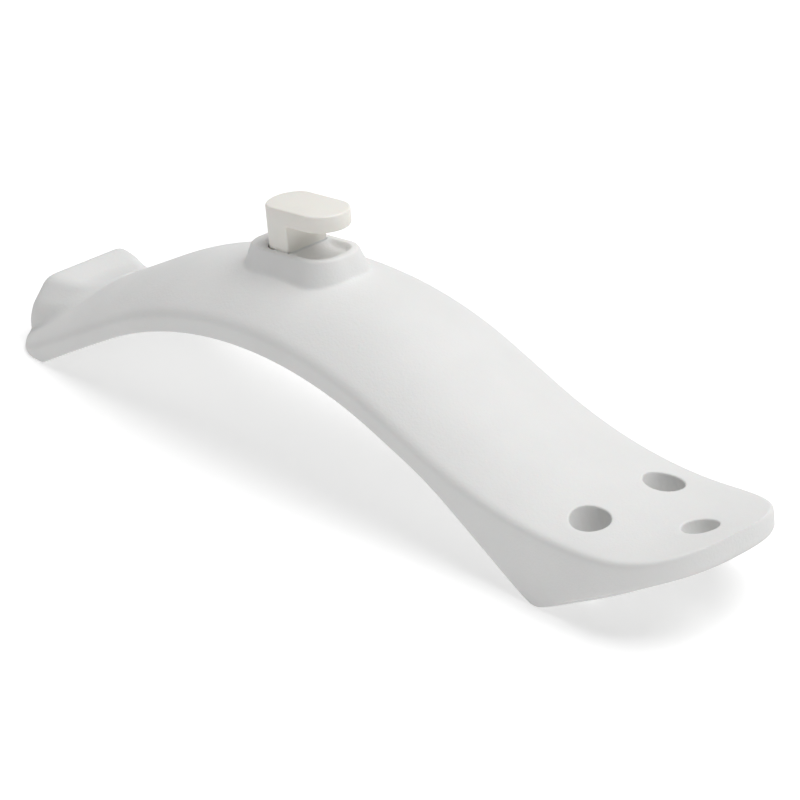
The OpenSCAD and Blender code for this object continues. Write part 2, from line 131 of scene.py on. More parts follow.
class Mesh:
    """Collects arrays of points and faces, and makes one object of them."""

    def __init__(self) -> None:
        """Starts empty."""
        self.points: list[Array] = []
        self.faces: list[list[int]] = []
        self.count = 0

    def add(self, points: Array) -> Array:
        """Adds points.

        Args:
            points: array whose last axis is x, y, z in millimetres.

        Returns:
            The new points' numbers, in the shape of the leading axes.
        """
        flat = np.asarray(points, float).reshape(-1, 3)
        ids = np.arange(self.count, self.count + len(flat))
        self.points.append(flat)
        self.count += len(flat)
        return ids.reshape(np.shape(points)[:-1])

    def quads(self, quads: Array) -> None:
        """Adds faces given as an (n, m) array of point numbers."""
        self.faces.extend(np.asarray(quads).tolist())

    def face(self, *runs: Array) -> None:
        """Adds one face whose corners are runs of point numbers, one after another."""
        self.faces.append(np.concatenate([np.atleast_1d(run) for run in runs]).tolist())

    def rings(self, rows: Array, closed: bool, flip: bool = False) -> None:
        """Adds the quads between each pair of neighbouring rows of a 2-D array of numbers."""
        for a, b in zip(rows[:-1], rows[1:]):
            quads = strip_faces(a, b, closed)
            self.quads(quads[:, ::-1] if flip else quads)

    def data(self, name: str, weld: bool) -> bpy.types.Mesh:
        """Makes the mesh data, with its faces turned outwards.

        Args:
            name: the data's name.
            weld: whether equal points are welded and empty faces dropped first.

        Returns:
            The mesh, in metres.
        """
        mesh = bpy.data.meshes.new(name)
        mesh.from_pydata((np.concatenate(self.points) * MM).tolist(), [], self.faces)
        work = bmesh.new()
        work.from_mesh(mesh)
        if weld:
            bmesh.ops.remove_doubles(work, verts=work.verts, dist=WELD_M)
            bmesh.ops.dissolve_degenerate(work, edges=work.edges, dist=WELD_M / 2)
        bmesh.ops.recalc_face_normals(work, faces=work.faces)
        open_edges = sum(len(e.link_faces) != 2 for e in work.edges)
        work.to_mesh(mesh)
        work.free()
        LOG.info("%s: %d faces, %d open edges", name, len(mesh.polygons), open_edges)
        return mesh

    def build(self, name: str, slot: Slot) -> bpy.types.Object:
        """Makes the object, linked to the scene and riding on the root body."""
        obj = link(name, self.data(name, True))
        finish_mesh(obj, 32.0)
        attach(obj, "root")
        return obj


def finish_mesh(obj: bpy.types.Object, smooth_deg: float) -> None:
    """Shades an object smooth, but keeps edges that bend more than the angle sharp."""
    obj.data.polygons.foreach_set("use_smooth", np.ones(len(obj.data.polygons), bool))
    obj.data.set_sharp_from_angle(angle=math.radians(smooth_deg))
    obj.data.update()


def apply_modifiers(obj: bpy.types.Object) -> None:
    """Replaces an object's mesh by what its modifiers make of it, and clears them."""
    bpy.context.view_layer.update()
    graph = bpy.context.evaluated_depsgraph_get()
    made = bpy.data.meshes.new_from_object(obj.evaluated_get(graph))
    old = obj.data
    obj.modifiers.clear()
    obj.data = made
    made.name = old.name
    bpy.data.meshes.remove(old)


# Finishes


def linear(hex_colour: str) -> tuple[float, float, float, float]:
    """Turns an sRGB hex colour into linear red, green, blue and alpha."""
    s = np.array([int(hex_colour[i:i + 2], 16) for i in (1, 3, 5)]) / 255
    c = np.where(s <= 0.04045, s / 12.92, ((s + 0.055) / 1.055) ** 2.4)
    return (float(c[0]), float(c[1]), float(c[2]), 1.0)


def node(tree: bpy.types.NodeTree, kind: str, inputs: dict | None = None,
         **settings: object) -> bpy.types.Node:
    """Adds a node with its settings and links.

    Args:
        tree: the material's node tree.
        kind: the node type.
        inputs: socket name or number to a value, or to the output socket it is linked to.
        **settings: the node's own properties.

    Returns:
        The node.
    """
    made = tree.nodes.new(kind)
    for key, value in settings.items():
        setattr(made, key, value)
    for key, value in (inputs or {}).items():
        if isinstance(value, bpy.types.NodeSocket):
            tree.links.new(value, made.inputs[key])
        else:
            made.inputs[key].default_value = value
    return made


def new_material(name: str) -> tuple[bpy.types.Material, bpy.types.NodeTree, bpy.types.NodeSocket]:
    """Makes an empty node material.

    Args:
        name: the material's name.

    Returns:
        The material, its node tree, and the object coordinates that its textures use.
    """
    mat = bpy.data.materials.new(name)
    mat.use_nodes = True
    mat.node_tree.nodes.clear()
    return mat, mat.node_tree, node(mat.node_tree, "ShaderNodeTexCoord").outputs["Object"]


@dataclass(frozen=True)
class Moulded:
    """An injection-moulded plastic or rubber: an etched grain, faint mottling and a soft sheen."""

    name: str
    colour: str
    mottle: str
    roughness: float
    grain_mm: float
    grain_depth_mm: float
    mottle_mm: float = 18.0
    subsurface: float = 0.0
    coat: float = 0.0
    transmission: float = 0.0
    ior: float = 1.5

    def material(self) -> bpy.types.Material:
        """Builds the node material: grain as bump and roughness, and a wide mottle as colour."""
        mat, tree, place = new_material(self.name)
        # one cell of a Voronoi texture is 1 / scale metres wide
        pits = node(tree, "ShaderNodeTexVoronoi",
                    {"Vector": place, "Scale": 1 / (self.grain_mm * MM), "Randomness": 1.0},
                    feature="SMOOTH_F1")
        fine = node(tree, "ShaderNodeTexNoise",
                    {"Vector": place, "Scale": 1 / (self.grain_mm * 0.6 * MM), "Detail": 3.0,
                     "Roughness": 0.6})
        wide = node(tree, "ShaderNodeTexNoise",
                    {"Vector": place, "Scale": 1 / (self.mottle_mm * MM), "Detail": 2.0})
        height = node(tree, "ShaderNodeMath", {0: pits.outputs["Distance"], 1: fine.outputs["Fac"]},
                      operation="ADD")
        bump = node(tree, "ShaderNodeBump",
                    {"Strength": 1.0, "Distance": self.grain_depth_mm * MM, "Height": height.outputs[0]})
        patch = node(tree, "ShaderNodeMapRange",
                     {"Value": wide.outputs["Fac"], "From Min": 0.35, "From Max": 0.65})
        colour = node(tree, "ShaderNodeMix",
                      {"Factor": patch.outputs["Result"], 6: linear(self.colour), 7: linear(self.mottle)},
                      data_type="RGBA")
        rough = node(tree, "ShaderNodeMapRange",
                     {"Value": fine.outputs["Fac"], "From Min": 0.3, "From Max": 0.7,
                      "To Min": self.roughness - 0.06, "To Max": self.roughness + 0.06})
        shader = node(tree, "ShaderNodeBsdfPrincipled",
                      {"Base Color": colour.outputs[2], "Roughness": rough.outputs["Result"],
                       "Normal": bump.outputs["Normal"], "IOR": self.ior, "Coat Weight": self.coat,
                       "Subsurface Weight": self.subsurface, "Subsurface Scale": 1.5 * MM,
                       "Transmission Weight": self.transmission})
        node(tree, "ShaderNodeOutputMaterial", {"Surface": shader.outputs["BSDF"]})
        return mat


@dataclass(frozen=True)
class TurnedMetal:
    """A small metal part with fine turning or rolling marks and a slightly uneven plating."""

    name: str
    colour: str
    shade: str
    roughness: float
    mark_mm: float

    def material(self) -> bpy.types.Material:
        """Builds the node material: stretched noise as bump, and a wide noise as tint and roughness."""
        mat, tree, place = new_material(self.name)
        along = node(tree, "ShaderNodeMapping", {"Vector": place, "Scale": (0.15, 0.15, 1.0)})
        marks = node(tree, "ShaderNodeTexNoise",
                     {"Vector": along.outputs["Vector"], "Scale": 1 / (self.mark_mm * MM), "Detail": 4.0})
        wide = node(tree, "ShaderNodeTexNoise", {"Vector": place, "Scale": 1 / (3 * MM), "Detail": 3.0})
        bump = node(tree, "ShaderNodeBump",
                    {"Strength": 0.4, "Distance": 0.02 * MM, "Height": marks.outputs["Fac"]})
        tint = node(tree, "ShaderNodeMix",
                    {"Factor": wide.outputs["Fac"], 6: linear(self.colour), 7: linear(self.shade)},
                    data_type="RGBA")
        rough = node(tree, "ShaderNodeMapRange",
                     {"Value": wide.outputs["Fac"], "To Min": self.roughness - 0.08,
                      "To Max": self.roughness + 0.12})
        shader = node(tree, "ShaderNodeBsdfPrincipled",
                      {"Base Color": tint.outputs[2], "Metallic": 1.0, "Roughness": rough.outputs["Result"],
                       "Normal": bump.outputs["Normal"]})
        node(tree, "ShaderNodeOutputMaterial", {"Surface": shader.outputs["BSDF"]})
        return mat


# Spark-eroded matt polypropylene: the mould's grain breaks up every highlight, so it looks chalky.
# The real grit is about 0.15 mm; it is drawn with cells of 0.9 mm, the finest that show at this distance.
SHELL_WHITE = Moulded("spark_eroded_white_pp", "#E5E5E4", "#E3E3E2", 0.62, 0.9, 0.05, subsurface=0.05)
# Unfilled nylon from a smoother mould: a shade creamier, with a soft sheen.
HOOK_NYLON = Moulded("moulded_cream_nylon", "#F0EEE8", "#EEEBE4", 0.46, 0.5, 0.012, subsurface=0.08)
LENS_RED = Moulded("polished_red_acrylic", "#B00A0E", "#A00A0C", 0.12, 2.0, 0.0, coat=0.5,
                   transmission=0.55, ior=1.49)
RUBBER_BLACK = Moulded("moulded_black_rubber", "#1B1B1C", "#222223", 0.72, 0.4, 0.02, ior=1.52)
REFLECTOR_WHITE = Moulded("gloss_white_abs", "#F2F2F0", "#EEEEEC", 0.2, 1.2, 0.003, coat=0.2)
BOARD_GREEN = Moulded("green_solder_mask", "#0E5B34", "#0B4D2C", 0.3, 0.7, 0.006, coat=0.3)
DIODE_YELLOW = Moulded("phosphor_resin", "#EBD98A", "#E4CF78", 0.35, 0.4, 0.004)
CONNECTOR_NATURAL = Moulded("natural_nylon", "#E4DFCF", "#DDD8C6", 0.5, 0.5, 0.008)
# Zinc-plated steel: a cool grey with faint rolling marks.
STEEL_ZINC = TurnedMetal("zinc_plated_steel", "#C4C7CB", "#AEB3BA", 0.34, 0.25)
BRASS_TURNED = TurnedMetal("turned_brass", "#D8B15A", "#C39A45", 0.28, 0.2)


# The shell's form: lines, crown, plan and lower edge, as in the CAD


@dataclass
class ShellForm:
    """The sizes that shape the moulding, and the surfaces that follow from them."""

    length: float = 315.0
    width: float = 68.4
    wall: float = 2.6
    arch_h: float = 51.0
    arch_from_tail: float = 133.5
    arch_r: float = 156.0
    tail_pitch: float = 30.5
    ramp_pitch: float = 19.7
    ramp_l: float = 21.0
    sweep_r: float = 169.0
    nose_pitch: float = 16.0
    crown_h: float = 13.3
    nose_crown_h: float = 1.5
    nose_power: float = 2.6
    skirt_h: float = 7.4
    draft: float = 4.5
    tail_corner_r: float = 13.0
    shoulder_f: float = 2.4
    keel_from_nose: float = 54.0
    keel_slope: float = 28.3
    keel_round: float = 1.6
    keel_blend: float = 2.0
    tail_deeper: float = 0.8
    tail_lift: float = 4.2
    tail_lift_l: float = 12.5
    tail: float = field(init=False)
    nose: float = field(init=False)
    half: float = field(init=False)
    nose_centre: float = field(init=False)

    def __post_init__(self) -> None:
        """Works out the stations where one line of the side view meets the next."""
        self.tail, self.nose, self.half = -self.length / 2, self.length / 2, self.width / 2
        self.nose_centre = self.nose - self.half
        tp, rp, npitch = (math.radians(a) for a in (self.tail_pitch, self.ramp_pitch, self.nose_pitch))
        self.arch_x = self.tail + self.arch_from_tail
        self.x0 = self.arch_x - self.arch_r * math.sin(tp)
        self.x1 = self.arch_x + self.arch_r * math.sin(rp)
        self.x2 = self.x1 + self.ramp_l * math.cos(rp)
        self.xs = self.x2 + self.sweep_r * math.sin(rp)
        self.x3 = self.xs + self.sweep_r * math.sin(npitch)
        self.z0 = self.arch_h - self.arch_r * (1 - math.cos(tp))
        self.z1 = self.arch_h - self.arch_r * (1 - math.cos(rp))
        self.z2 = self.z1 - self.ramp_l * math.sin(rp)
        self.zs = self.z2 - self.sweep_r * (1 - math.cos(rp))
        self.z3 = self.zs + self.sweep_r * (1 - math.cos(npitch))
        self.drop = self.wall / math.cos(tp)

    def shoulder_z(self, x: Array) -> Array:
        """Shoulder height: a line, an arc over the wheel, a line, a hollow arc and a line, end to end."""
        arch = self.arch_h - self.arch_r + np.sqrt(
            np.maximum(self.arch_r ** 2 - (x - self.arch_x) ** 2, 0))
        sweep = self.zs + self.sweep_r - np.sqrt(np.maximum(self.sweep_r ** 2 - (x - self.xs) ** 2, 0))
        return np.select(
            [x < self.x0, x < self.x1, x < self.x2, x < self.x3],
            [self.z0 - (self.x0 - x) * math.tan(math.radians(self.tail_pitch)), arch,
             self.z1 - (x - self.x1) * math.tan(math.radians(self.ramp_pitch)), sweep],
            self.z3 + (x - self.x3) * math.tan(math.radians(self.nose_pitch)))

    def top_z(self, x: Array, y: Array) -> Array:
        """Crown surface: the shoulder line plus a parabola across, shallow at the nose."""
        rise = self.crown_h + (self.nose_crown_h - self.crown_h) * ease(x, self.x1 - 4, self.nose - 14)
        return self.shoulder_z(x) + rise * (1 - (y / self.half) ** 2)

    def plan_half(self, x: Array, inset: float = 0.0) -> Array:
        """Half-width in plan: round tail corners, straight sides and a superelliptic nose."""
        w, tail, r = self.half - inset, self.tail + inset, self.tail_corner_r
        corner = w - r + np.sqrt(np.maximum(r ** 2 - (tail + r - x) ** 2, 0))
        ahead = np.clip((x - self.nose_centre) / w, 0, 1)
        nose = w * (1 - ahead ** self.nose_power) ** (1 / self.nose_power)
        return np.where(x < tail + r, corner, np.where(x > self.nose_centre, nose, w))

    def plan_normal(self, x: Array, inset: float = 0.0) -> tuple[Array, Array]:
        """Outward direction of the plan outline, as its x and y parts."""
        w, p = self.half - inset, self.nose_power - 1
        tail_run = self.tail + inset + self.tail_corner_r - x
        ahead = np.clip((x - self.nose_centre) / w, 0, None) ** p
        aside = (self.plan_half(x, inset) / w) ** p
        nose = ahead / np.hypot(ahead, np.maximum(aside, 1e-6))
        nx = np.where(tail_run > 0, -tail_run / self.tail_corner_r, nose)
        return nx, np.sqrt(np.maximum(1 - nx * nx, 0))

    def lower_z(self, x: Array) -> Array:
        """Lower edge: the lower of the skirt's foot and the gusset's hyperbola, lifted at the tail."""
        keel = np.sqrt(((x - (self.nose - self.keel_from_nose))
                        * math.tan(math.radians(self.keel_slope))) ** 2
                       + self.keel_round ** 2) - self.keel_round
        lift = self.tail_lift * (1 - np.sqrt(1 - np.clip((self.tail + self.tail_lift_l - x)
                                                         / self.tail_lift_l, 0, 1) ** 2))
        deeper = self.tail_deeper * (1 - ease(x, self.tail, self.tail + 45))
        skirt = self.shoulder_z(x) - self.skirt_h - deeper
        return np.maximum(0, smooth_min(skirt, keel, self.keel_blend)) + lift


@dataclass
class HumpForm:
    """The lamp hump: level on top, with sloping upper sides, narrowing forwards into the crown."""

    height: float = 23.9
    top_half: float = 17.2
    half: float = 26.6
    reach: float = 26.5
    slope: float = 51.0
    foot_in: float = 2.4
    foot_h: float = 15.0
    rear_r: float = 4.5
    rear_edge_r: float = 1.3
    side_out: float = 3.4
    top_round: float = 2.6
    side_round: float = 5.0
    blend: float = 1.2
    blend_gain: float = 5.0

    def radius(self, form: ShellForm, x: Array, angle: Array, base: Array) -> Array:
        """Distance from the section's centre to the hump, in the direction of each angle.

        The section is the smooth minimum of three ray lengths: to the level top, to a plane that
        slopes down from the top's edge, and to a side that leans in towards its foot. Both
        half-widths follow a quarter ellipse along X.

        Args:
            form: the shell.
            x: stations.
            angle: ray directions from the section's centre, in radians.
            base: height of the section's centre.

        Returns:
            Ray lengths, 0 where there is no hump.
        """
        run = np.clip((x - form.tail) / self.reach, 0, 1)
        taper = np.sqrt(1 - run ** 2)
        half = smooth_min(self.half * taper, form.plan_half(x) + self.side_out, 2.0)
        lean = self.foot_in / self.foot_h
        cos, sin = np.maximum(np.abs(np.cos(angle)), 1e-4), np.maximum(np.sin(angle), 1e-4)
        side = np.maximum(half - lean * (self.foot_h - base), 0.01) / np.maximum(cos - lean * sin, 1e-4)
        back = np.clip(self.rear_r - (x - form.tail), 0, self.rear_r)
        height = self.height - (self.rear_r - np.sqrt(self.rear_r ** 2 - back ** 2))
        top = np.maximum(height - base, 0.01) / sin
        a = math.radians(self.slope)
        reach = self.top_half * taper * math.sin(a) + (height - base) * math.cos(a)
        slant = np.maximum(reach, 0.01) / (cos * math.sin(a) + sin * math.cos(a))
        r = smooth_min(smooth_min(top, slant, self.top_round), side, self.side_round)
        return np.where(x < form.tail + self.reach, r, 0.0)


@dataclass(frozen=True)
class Well:
    """One screw well in the deck end."""

    x: float
    y: float
    d: float
    depth: float


@dataclass(frozen=True)
class Frame3:
    """A frame laid on the shell: its origin, its forward direction and its upward direction."""

    origin: tuple[float, float, float]
    lean: float

    @property
    def ahead(self) -> Array:
        """Forward unit vector."""
        a = math.radians(self.lean)
        return np.array([math.cos(a), 0, math.sin(a)])

    @property
    def up(self) -> Array:
        """Upward unit vector."""
        a = math.radians(self.lean)
        return np.array([-math.sin(a), 0, math.cos(a)])

    def out(self, x: Array, y: Array, z: Array) -> Array:
        """Points of the shell's frame from coordinates in this one."""
        x, y, z = np.broadcast_arrays(x, y, z)
        side = np.array([0.0, 1.0, 0.0])
        return (np.array(self.origin) + x[..., None] * self.ahead + y[..., None] * side
                + z[..., None] * self.up)

    def into(self, p: Array) -> tuple[Array, Array, Array]:
        """Coordinates in this frame of points of the shell's frame."""
        d = p - np.array(self.origin)
        return d @ self.ahead, d[..., 1], d @ self.up

    def settle(self, form: ShellForm, x: Array, y: Array, drop: float) -> Array:
        """Height in this frame at which a point lies on the crown, less a drop, by repeated correction."""
        z = np.zeros(np.broadcast(x, y).shape)
        for _ in range(8):
            p = self.out(x, y, z)
            z = z + (form.top_z(p[..., 0], p[..., 1]) - drop - p[..., 2]) * 0.97
        return z


@dataclass
class Skin:
    """One side of the shell as a grid: rows are stations along X, columns run from edge to edge."""

    form: ShellForm
    hump: HumpForm
    inset: float
    tail_rows: int = 16
    hump_rows: int = 22
    body_rows: int = 172
    nose_rows: int = 40
    skirt_cols: int = 12
    round_cols: int = 6
    crown_cols: int = 46
    step_in: float = 0.5
    step_h: float = 1.1
    edge_r: float = 0.35
    nose_end_deg: float = 88.2

    def stations(self) -> Array:
        """Stations along X: by angle round the tail corners and the nose, even between them."""
        f, r = self.form, self.form.tail_corner_r
        tail = f.tail + self.inset
        w = f.half - self.inset
        a = np.arange(self.tail_rows) / self.tail_rows * math.pi / 2
        b = np.arange(self.hump_rows) / self.hump_rows
        c = np.arange(self.body_rows) / self.body_rows
        mid = tail + r + self.hump_rows * 1.0
        e = np.arange(self.nose_rows + 1) / self.nose_rows * math.radians(self.nose_end_deg)
        nose = f.nose_centre + w * np.sin(e) ** (2 / f.nose_power)
        return np.concatenate([tail + r * (1 - np.cos(a)), tail + r + b * (mid - tail - r),
                               mid + c * (f.nose_centre - mid), nose])

    def half_columns(self, x: Array) -> Array:
        """Right half of every section, from the lower edge to the centre line.

        The skirt is a straight drafted wall with a small step near its edge at the deck end, the
        shoulder a quadratic Bezier, and the crown the shell's parabola.

        Args:
            x: stations.

        Returns:
            Points of shape (stations, columns, 3), with y positive.
        """
        f, inner = self.form, self.inset > 0
        drop = f.drop if inner else 0.0
        w = np.maximum(f.plan_half(x, self.inset), 0.6)
        nx, ny = f.plan_normal(x, self.inset)
        low = f.lower_z(x)
        zw = f.top_z(x, w) - drop
        zw = np.maximum(zw, low + 0.4)
        round_f = np.minimum.reduce([np.full_like(w, f.shoulder_f), w / 2, 0.6 * (zw - low)])
        lean = math.tan(math.radians(f.draft))
        top = zw - round_f
        # skirt heights: close together round the edge and the step, then even
        near = np.array([0.0, self.edge_r, 0.75, self.step_h, self.step_h + 0.25, self.step_h + 0.5])
        room = np.minimum(1.0, (top - low) / (near[-1] * 1.3))
        lows = low[:, None] + near[None, :] * room[:, None]
        rest = np.arange(1, self.skirt_cols - len(near) + 1) / (self.skirt_cols - len(near))
        highs = lows[:, -1:] + (top[:, None] - lows[:, -1:]) * rest[None, :]
        z = np.concatenate([lows, highs], 1)
        out = (zw[:, None] - z) * lean
        if not inner:
            at_deck = ease(x, f.nose - f.keel_from_nose + 4, f.nose - f.keel_from_nose + 26)[:, None]
            above = z - low[:, None]
            out = out - self.step_in * at_deck * (1 - ease(above, self.step_h, self.step_h + 0.3))
            out = out - self.edge_r * (1 - np.minimum(above / self.edge_r, 1)) ** 2
        skirt = np.stack([x[:, None] + out * nx[:, None], w[:, None] + out * ny[:, None], z], 2)
        t = np.arange(1, self.round_cols + 1) / self.round_cols
        p2 = np.stack([w - round_f, f.top_z(x, w - round_f) - drop], 1)
        p1 = np.stack([w, zw], 1)
        p0 = np.stack([w + round_f * lean, top], 1)
        arc = bezier(p0, p1, p2, t).transpose(1, 0, 2)
        over = np.maximum(arc[..., 0] - w[:, None], 0)
        shoulder = np.stack([x[:, None] + over * nx[:, None],
                             np.minimum(arc[..., 0], w[:, None]) + over * ny[:, None], arc[..., 1]], 2)
        k = np.arange(1, self.crown_cols + 1) / self.crown_cols
        y = (w - round_f)[:, None] * (1 - k)[None, :]
        xx = np.broadcast_to(x[:, None], y.shape)
        crown = np.stack([xx, y, f.top_z(xx, y) - drop], 2)
        return np.concatenate([skirt, shoulder, crown], 1)

    def with_hump(self, p: Array, x: Array) -> Array:
        """Pushes each point out along its ray from the section's centre to the hump, where that is farther.

        The new ray length is the smooth maximum of the two, with a blend that widens forwards.

        Args:
            p: points of shape (stations, columns, 3).
            x: stations.

        Returns:
            The moved points.
        """
        f = self.form
        base = f.lower_z(x)[:, None]
        rel_y, rel_z = p[..., 1], p[..., 2] - base
        angle = np.arctan2(np.maximum(rel_z, 0), rel_y)
        length = np.hypot(rel_y, rel_z)
        hump = self.hump.radius(f, x[:, None], angle, base)
        blend = self.hump.blend + self.hump.blend_gain * ease(x, f.tail + 1, f.tail + 20)[:, None]
        joined = np.where(hump > 0, smooth_max(length, hump, blend), length)
        # the rear edge is a quarter round
        e = self.hump.rear_edge_r
        back = np.clip(e - (x - f.tail), 0, e)
        joined = joined - (e - np.sqrt(e * e - back ** 2))[:, None]
        scale = joined / np.maximum(length, 1e-6)
        moved = p.copy()
        moved[..., 1] = rel_y * scale
        moved[..., 2] = base + rel_z * scale
        near = (x < f.tail + self.hump.reach + 6)[:, None, None]
        return np.where(near, moved, p)

    def points(self) -> Array:
        """The whole grid, right edge to left edge, of shape (stations, columns, 3)."""
        x = self.stations()
        right = self.half_columns(x)
        if self.inset == 0:
            right = self.with_hump(right, x)
        left = right[:, -2::-1]
        right = right * np.array([1, -1, 1])
        return np.concatenate([right, left], 1)


SHELL_NODES = ("shell_tail", "shell_rear_arch", "shell_boss", "shell_front_arch", "shell_ramp",
               "shell_gusset", "shell_deck_end")


@dataclass
class Mudguard:
    """The moulded shell: two skins, the boss under the hook, the screw wells, ribs and lamp box."""

    form: ShellForm = field(default_factory=ShellForm)
    hump: HumpForm = field(default_factory=HumpForm)
    hook_x: float = -37.8
    hook_lean: float = 7.1
    boss_h: float = 5.2
    rim_l: float = 40.4
    rim_w: float = 22.8
    rim_mid: float = -1.6
    rim_r: float = 9.2
    rim_lip: float = 2.0
    flare: float = 3.4 / 8.2
    dish_h: float = 2.2
    dish_l: float = 16.6
    dish_fade: float = 2.4
    rim_f: float = 0.9
    foot_f: float = 1.1
    hole_d: float = 5.5
    floor_t: float = 3.0
    well_f: float = 0.7
    well_lean: float = 11.0
    rounding: float = 0.3
    tube_rounding: float = 0.4
    boss_patch: tuple[float, float, float] = (-30.0, 27.5, 19.5)
    well_patch: float = 1.3
    pillar_r: float = 8.35
    pillar_low: float = -10.25
    socket_low: float = -6.25
    hook_hole_r: float = 2.75
    lamp_gap: float = 0.3
    lamp_box_l: float = 18.6
    lamp_pocket_l: float = 16.0
    lamp_shelf: float = 4.0
    grommet_x: float = 13.4
    grommet_r: float = 2.0
    lamp_screw_x: float = 6.5
    lamp_screw_r: float = 1.5
    rib_half: float = 0.9
    long_rib_drop: float = 9.5
    wells: tuple[Well, ...] = (Well(110.2, -17.6, 13.4, 13.0), Well(110.2, 17.6, 13.4, 13.0),
                               Well(141.5, 0.0, 12.2, 6.5))

    def hook_frame(self) -> Frame3:
        """The frame of the hook: on the boss rim, at the neck's front face."""
        z = float(self.form.top_z(np.array(self.hook_x), np.array(0.0))) + self.boss_h
        return Frame3((self.hook_x, 0.0, z), self.hook_lean)

    @staticmethod
    def window(grid: Array, lo: tuple[float, float], hi: tuple[float, float]) -> tuple[int, int, int, int]:
        """Rows and columns that just enclose a box in plan.

        Args:
            grid: a skin's points.
            lo: lowest x and y.
            hi: highest x and y.

        Returns:
            First row, last row, first column and last column.
        """
        x = grid[:, grid.shape[1] // 2, 0]
        i0 = int(np.searchsorted(x, lo[0]) - 1)
        i1 = int(np.searchsorted(x, hi[0]))
        edge = Skin.skirt_cols + Skin.round_cols
        crown = np.arange(edge, grid.shape[1] - edge)
        rows = grid[i0:i1 + 1, :, 1]
        j0 = int(max(j for j in crown if np.all(rows[:, j] <= lo[1])))
        j1 = int(min(j for j in crown if np.all(rows[:, j] >= hi[1]) and j > j0))
        return i0, i1, j0, j1

    @staticmethod
    def border(ids: Array, box: tuple[int, int, int, int]) -> Array:
        """Point numbers round a window of a grid, as one ring."""
        i0, i1, j0, j1 = box
        return np.concatenate([ids[i0:i1, j0], ids[i1, j0:j1], ids[i1:i0:-1, j1], ids[i0, j1:j0:-1]])

    def well_rings(self, well: Well, outer: Array, inner: Array) -> Array:
        """Rings from a window of the outer skin, down the well, and back up to the inner skin.

        Each ring has a radius and a height above the well's own plane; on a skin the height is the
        one at which the point lies on it.

        Args:
            well: the well.
            outer: ring of points of the outer window.
            inner: ring of points of the inner window.

        Returns:
            Points of shape (rings, points round, 3).
        """
        f = self.form
        z = float(f.top_z(np.array(well.x), np.array(well.y)))
        fr = Frame3((well.x, well.y, z), self.well_lean)
        ox, oy, _ = fr.into(outer)
        ix, iy, _ = fr.into(inner)
        oa = np.unwrap(np.arctan2(oy, ox))
        ia = np.unwrap(np.arctan2(iy, ix))
        ia = ia + 2 * math.pi * round(float(np.mean(oa - ia)) / (2 * math.pi))
        r, tube = well.d / 2, well.d / 2 + f.wall
        rings = []
        ca, sa = np.cos(oa), np.sin(oa)
        rim = r + self.well_f
        for t in (0.3, 0.6, 0.82, 1.0):
            x = ox + (rim * ca - ox) * t
            y = oy + (rim * sa - oy) * t
            rings.append(fr.out(x, y, fr.settle(f, x, y, 0.0)))
        h = fr.settle(f, rim * ca, rim * sa, 0.0)
        for a in np.radians([22.5, 45, 67.5, 90]):
            rr = r + self.well_f * (1 - math.sin(a))
            rings.append(fr.out(rr * ca, rr * sa, h - self.well_f * (1 - math.cos(a))))
        wall_top = h - self.well_f
        for t in (0.33, 0.66, 0.95):
            rings.append(fr.out(r * ca, r * sa, wall_top + (-well.depth - wall_top) * t))
        # the floor's edge, the hole through it, and the foot of the tube
        floor, under, hole, e = -well.depth, -well.depth - self.floor_t, self.hole_d / 2, self.rounding
        profile = [(r - 0.1, floor + 0.15), (r - 0.5, floor), (hole + e, floor), (hole, floor - e),
                   (hole, under + e), (hole + e, under), (tube - self.tube_rounding, under),
                   (tube, under + self.tube_rounding)]
        for rr, zz in profile:
            rings.append(fr.out(rr * ca, rr * sa, zz))
        ci, si = np.cos(ia), np.sin(ia)
        join = fr.settle(f, tube * ci, tube * si, f.drop)
        foot = under + self.tube_rounding
        rings.append(fr.out(tube * ci, tube * si, foot + (join - foot) * 0.6))
        rings.append(fr.out(tube * ci, tube * si, join))
        x, y = tube * ci + (ix - tube * ci) * 0.5, tube * si + (iy - tube * si) * 0.5
        rings.append(fr.out(x, y, fr.settle(f, x, y, f.drop)))
        return np.stack(rings)

    def boss_rings(self, outer: Array) -> Array:
        """Rings from a window of the outer skin up the boss, over its rim and into the dish.

        A point is a core point plus a distance times a direction; the core is the rim's rectangle
        less its corner radius, so rings of equal distance are offsets of the rim.

        Args:
            outer: ring of points of the window.

        Returns:
            Points of shape (rings, points round, 3).
        """
        f, fr = self.form, self.hook_frame()
        ox, oy, _ = fr.into(outer)
        core_x, core_y = self.rim_l / 2 - self.rim_r, self.rim_w / 2 - self.rim_r
        cx = np.clip(ox - self.rim_mid, -core_x, core_x) + self.rim_mid
        cy = np.clip(oy, -core_y, core_y)
        dist = np.hypot(ox - cx, oy - cy)
        nx, ny = (ox - cx) / dist, (oy - cy) / dist

        def at(d: Array, z: Array) -> Array:
            """Point at a distance from the core and a height."""
            return fr.out(cx + nx * d, cy + ny * d, z)

